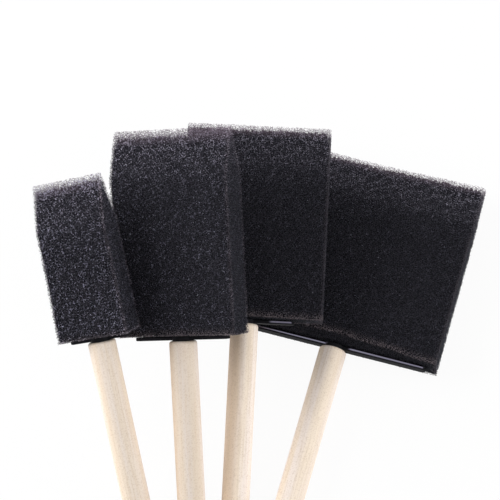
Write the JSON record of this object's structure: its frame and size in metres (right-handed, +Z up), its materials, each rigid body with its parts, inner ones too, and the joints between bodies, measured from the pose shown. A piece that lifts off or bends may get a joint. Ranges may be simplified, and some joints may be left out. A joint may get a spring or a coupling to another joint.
{
  "type": "foam sponge brush",
  "caption": "Fanned set of foam brushes: black chisel-tipped sponge heads on black plastic blades, each plugged into a round birch handle.",
  "frame": {"origin": "on the table, at the middle of the flat back face of the wide brush's sponge head", "axes": "+Z up from the table, +Y from the handles towards the sponge tips, +X to the right when looking along +Y"},
  "size_m": [0.1595, 0.1702, 0.0721],
  "materials": {
    "sponge": "matte",
    "black_plastic": "satin",
    "birch": "matte"
  },
  "bodies": {
    "root": {"foam_head_narrow": "sponge", "blade_insert_narrow": "black_plastic", "handle_narrow": "birch", "foam_head_small": "sponge", "blade_insert_small": "black_plastic", "handle_small": "birch", "foam_head_medium": "sponge", "blade_insert_medium": "black_plastic", "handle_medium": "birch", "foam_head_wide": "sponge", "blade_insert_wide": "black_plastic", "handle_wide": "birch"}
  },
  "joints": []
}
